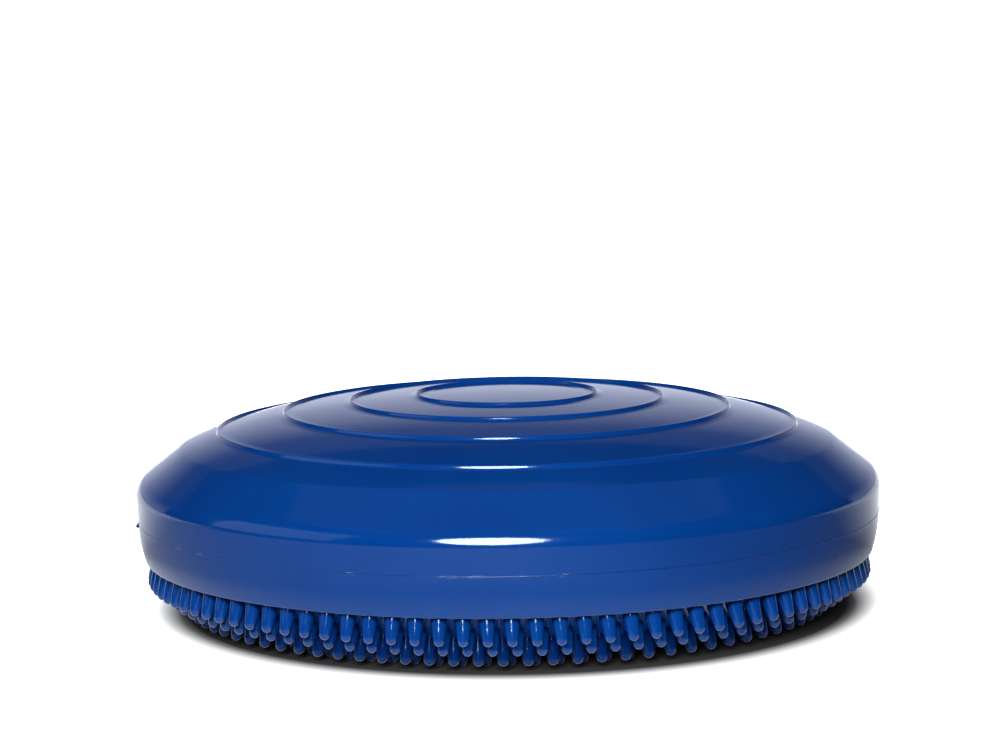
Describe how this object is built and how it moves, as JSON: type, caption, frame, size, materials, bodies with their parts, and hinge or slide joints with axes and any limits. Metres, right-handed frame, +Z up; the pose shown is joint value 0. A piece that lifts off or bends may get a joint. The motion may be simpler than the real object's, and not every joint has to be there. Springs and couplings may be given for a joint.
{
  "type": "balance cushion",
  "caption": "Round air-filled balance cushion with raised rings on its smooth top, a spiked underside and a stoppered needle valve in the rim.",
  "frame": {"origin": "on the floor, under the centre of the cushion", "axes": "+Z up along the cushion's axis; +Y towards the valve in the rim; -Y towards the front"},
  "size_m": [0.36, 0.3611, 0.1047],
  "materials": {
    "upper_skin": "glossy moulded soft PVC",
    "lower_skin": "glossy moulded soft PVC",
    "weld": "fused PVC, slightly paler",
    "valve_pvc": "satin soft PVC",
    "valve_rubber": "matt rubber",
    "stopper_plastic": "satin moulded plastic"
  },
  "bodies": {
    "cushion": {"upper_shell": "upper_skin", "lower_shell": "lower_skin", "weld_seam": "weld", "valve_body": "valve_pvc", "valve_core": "valve_rubber"},
    "stopper": {"valve_plug": "stopper_plastic"}
  },
  "joints": [
    {"name": "stopper_pull", "type": "slide", "parent": "cushion", "child": "stopper", "axis": [0, 1, 0], "range_m": [0, 0.0115]}
  ]
}
